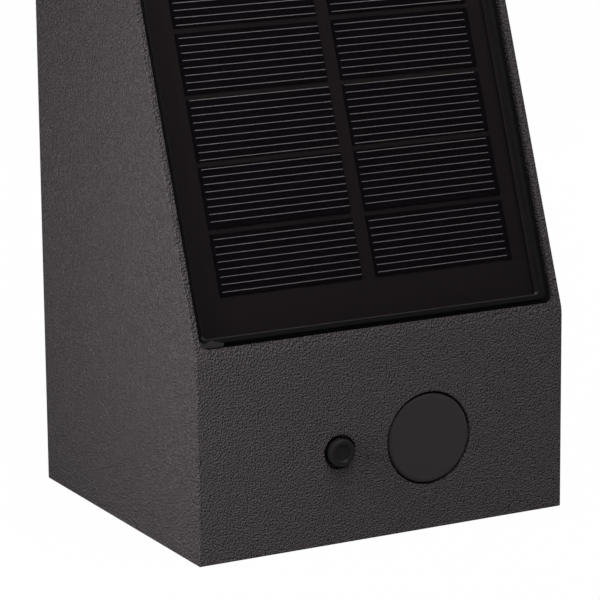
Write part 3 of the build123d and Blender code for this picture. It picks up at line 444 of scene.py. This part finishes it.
def cover_glass():
    """The cover glass with ground and rounded edges, a hair above the cells."""
    limits = slope_limits("solar_glass")
    low, high = limits[2][0] + GLASS_LIFT, limits[2][1]
    rounds = [math.radians(90) * step / GLASS_STEPS for step in range(GLASS_STEPS + 1)]
    levels = [(GLASS_ROUND * (1 - math.sin(a)), low + GLASS_ROUND * (1 - math.cos(a))) for a in rounds]
    levels += [(GLASS_ROUND * (1 - math.cos(a)), high - GLASS_ROUND * (1 - math.sin(a))) for a in rounds]
    loops = [outline(limits, inset, GLASS_CORNER, out) for inset, out in levels]
    piece = loft("cover_glass", loops, False)
    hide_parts("solar_glass")
    place_piece(piece, FINISHES["panel_glass"])
    # Its edge is wetted black, but ground and grey where it faces down, and painted a lighter dark grey
    # where it faces right: painted light over the shade beside the panel's right edge
    wet, ground, painted_light_right = 1, 2, 3
    piece.data.materials.append(FINISHES["sealant"])
    piece.data.materials.append(moulded("ground_glass_edge", ("#504c4d", "#585354"), 0.6, 0.4, 0.01, 0.1))
    # The edge facing right is painted lighter than the wet black: painted light standing in for light
    # that the shaded board there lacks
    piece.data.materials.append(
        moulded("glass_edge_painted_light", ("#242021", "#282324"), 0.6, 0.4, 0.01, 0.02))
    for face in piece.data.polygons:
        if abs(face.normal.dot(OUT)) < FACE_ON:
            down = face.normal.dot(UP) < -FACE_TURNED
            right = face.normal.dot(ACROSS) > FACE_TURNED
            face.material_index = ground if down else painted_light_right if right else wet


def sealant_bead():
    """The bead in the groove: it clings to the glass, sinks towards the wall and is uneven on its way."""
    outer, inner = slope_limits("panel_sealant"), slope_limits("solar_glass")
    floor, top = outer[2][0], inner[2][1]
    inner_edge = outline(inner, -BEAD_CLEARANCE, GLASS_CORNER, 0)
    outer_edge = outline(outer, 0, POCKET_CORNER, 0)
    loops = [[point + OUT * floor for point in inner_edge]]
    for share, depth in BEAD_STEPS:
        loop = [a.lerp(b, share) for a, b in zip(inner_edge, outer_edge)]
        loops.append([
            point + OUT * (top - depth * MM + BEAD_UNEVEN * noise.noise(point / BEAD_WAVE))
            for point in loop
        ])
    loops.append([point + OUT * floor for point in outer_edge])
    piece = loft("sealant_bead", loops, True)
    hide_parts("panel_sealant")
    place_piece(piece, FINISHES["sealant"])


def sealant_lump():
    """Sealant squeezed up to the glass in the lower left corner of the groove, greyer than the bead."""
    groove = slope_limits("panel_sealant")
    mesh = bmesh.new()
    rounds, rings = LUMP_SEGMENTS
    bmesh.ops.create_uvsphere(mesh, u_segments=rounds, v_segments=rings, radius=1)
    across, up, out = LUMP_HALF
    for vertex in mesh.verts:
        x, y, z = [math.copysign(abs(side) ** LUMP_BOXY, side) for side in vertex.co]
        point = on_slope(
            groove[0][0] + LUMP_MIDDLE[0] + across * x, groove[1][0] + LUMP_MIDDLE[1] + up * y,
            groove[2][1] + out * z,
        )
        vertex.co = point + OUT * (LUMP_UNEVEN * noise.noise(point / LUMP_WAVE))
    smear = moulded("smeared_grey_sealant", ("#181616", "#1c1a1a"), 0.25, 0.9, 0.05, 0.2)
    place_piece(make_piece("sealant_lump", mesh), smear)


def cell_edges(axis):
    """The lower and upper edges of the cells along one axis of the slope, in order."""
    places = sorted({round(vertex.co.dot(axis), 6) for vertex in nodes["solar_cells"].data.vertices})
    return list(zip(places[::2], places[1::2]))


def cell_fingers():
    """Thin raised lines across every cell, in step with the pitch and cut where the cell was cut."""
    top = slope_limits("solar_cells")[2][1]
    columns, rows = cell_edges(ACROSS), cell_edges(UP)
    mesh = bmesh.new()
    for (left, right), (bare_left, bare_right) in zip(columns, FINGER_ENDS):
        ends = (left + bare_left * MM, right - bare_right * MM)
        for start, (low, high) in zip(FINGER_STARTS, rows):
            up = low + start * MM
            while up < high - FINGER_WIDTH / 4:  # most of the last finger lies on the cell
                bar = [
                    [on_slope(x, up + FINGER_WIDTH * side, top + FINGER_HEIGHT * rise)
                     for side, rise in FINGER_SECTION]
                    for x in ends
                ]
                skin(mesh, bar, False)
                up += FINGER_PITCH
    place_piece(make_piece("cell_fingers", mesh), printed_silver())


def seen_directly(tree):
    """1 where the camera, a reflection or a view through glass looks, and 0 where light falls."""
    path = add(tree, "LightPath").outputs
    seen = add(tree, "Math", {0: path["Is Camera Ray"], 1: path["Is Glossy Ray"]}, operation="MAXIMUM")
    seen = add(tree, "Math", {0: seen.outputs[0], 1: path["Is Transmission Ray"]}, operation="MAXIMUM")
    return seen.outputs[0]


def white_studio():
    """Even white all round, and a weaker fill on what it lights."""
    world = bpy.data.worlds.new("white_studio")
    world.use_nodes = True
    tree = world.node_tree
    tree.nodes.clear()
    strength = add(tree, "MapRange", {"Value": seen_directly(tree), "To Min": FILL, "To Max": 1.0})
    light = add(tree, "Background", {"Color": linear("#ffffff"), "Strength": strength.outputs["Result"]})
    add(tree, "OutputWorld", {"Surface": light.outputs["Background"]})
    bpy.context.scene.world = world


def pale_floor():
    """A plain white table that keeps a soft shadow, is clear from below and open under the light."""
    mesh = bmesh.new()
    low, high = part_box("housing")
    ends = (
        (-FLOOR_REACH, -FLOOR_REACH, FLOOR_REACH, FLOOR_REACH),
        (low.x + FLOOR_LAP, low.y + FLOOR_LAP, high.x - FLOOR_LAP, high.y - FLOOR_LAP),
    )
    outer, inner = [
        [mesh.verts.new((x, y, 0)) for x, y in ((x0, y0), (x1, y0), (x1, y1), (x0, y1))]
        for x0, y0, x1, y1 in ends
    ]
    for place in range(4):
        beside = (place + 1) % 4
        mesh.faces.new((outer[place], outer[beside], inner[beside], inner[place]))
    floor = make_piece("floor", mesh)
    floor.location.z = cad_box[0].z - FLOOR_GAP
    material, tree, _ = new_finish("white_table")
    matt = add(tree, "BsdfDiffuse", {"Color": linear("#a0a0a0")})
    plain = add(tree, "Emission", {"Color": linear("#ffffff")})
    glow = add(tree, "Math", {0: seen_directly(tree), 1: FLOOR_GLOW}, operation="MULTIPLY")
    top = add(tree, "MixShader", {0: glow.outputs[0], 1: matt.outputs[0], 2: plain.outputs[0]})
    under = add(tree, "NewGeometry").outputs["Backfacing"]
    clear = add(tree, "BsdfTransparent")
    both = add(tree, "MixShader", {0: under, 1: top.outputs[0], 2: clear.outputs[0]})
    add(tree, "OutputMaterial", {"Surface": both.outputs[0]})
    floor.data.materials.append(material)


def softbox(name, place, aim, size, power, glares):
    """An area lamp that faces its aim, size wide and tall; one that doesn't glare only lights."""
    lamp = bpy.data.lights.new(name, "AREA")
    lamp.shape = "RECTANGLE"
    lamp.size, lamp.size_y = size
    lamp.energy = power
    holder = bpy.data.objects.new(name, lamp)
    holder.location = place
    holder.visible_camera = False
    holder.visible_glossy = glares
    holder.rotation_euler = (Vector(aim) - Vector(place)).to_track_quat("-Z", "Y").to_euler()
    bpy.context.scene.collection.objects.link(holder)


def photo_camera():
    """The camera at the photograph's viewing angle."""
    low, _ = cad_box
    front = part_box("housing")[0].y
    aim = Vector((AIM_X, front, low.z + AIM_UP))
    a, e, r = CAMERA_AZIMUTH, CAMERA_ELEVATION, CAMERA_ROLL
    back = Vector((-math.sin(a) * math.cos(e), -math.cos(a) * math.cos(e), math.sin(e)))
    right = Vector((math.cos(a), -math.sin(a), 0))
    up = back.cross(right)
    right, up = math.cos(r) * right + math.sin(r) * up, math.cos(r) * up - math.sin(r) * right
    lens = bpy.data.cameras.new("photo_camera")
    lens.lens = LENS
    lens.sensor_width = SENSOR
    camera = bpy.data.objects.new("photo_camera", lens)
    turn = Matrix((right, up, back)).transposed().to_4x4()
    camera.matrix_world = Matrix.Translation(aim + back * CAMERA_DISTANCE) @ turn
    bpy.context.scene.collection.objects.link(camera)
    bpy.context.scene.camera = camera


dress_frame()
cover_glass()
sealant_bead()
sealant_lump()
cell_fingers()
white_studio()
pale_floor()
for lamp in LAMPS:
    softbox(*lamp)
photo_camera()
bpy.context.scene.view_settings.view_transform = "Standard"
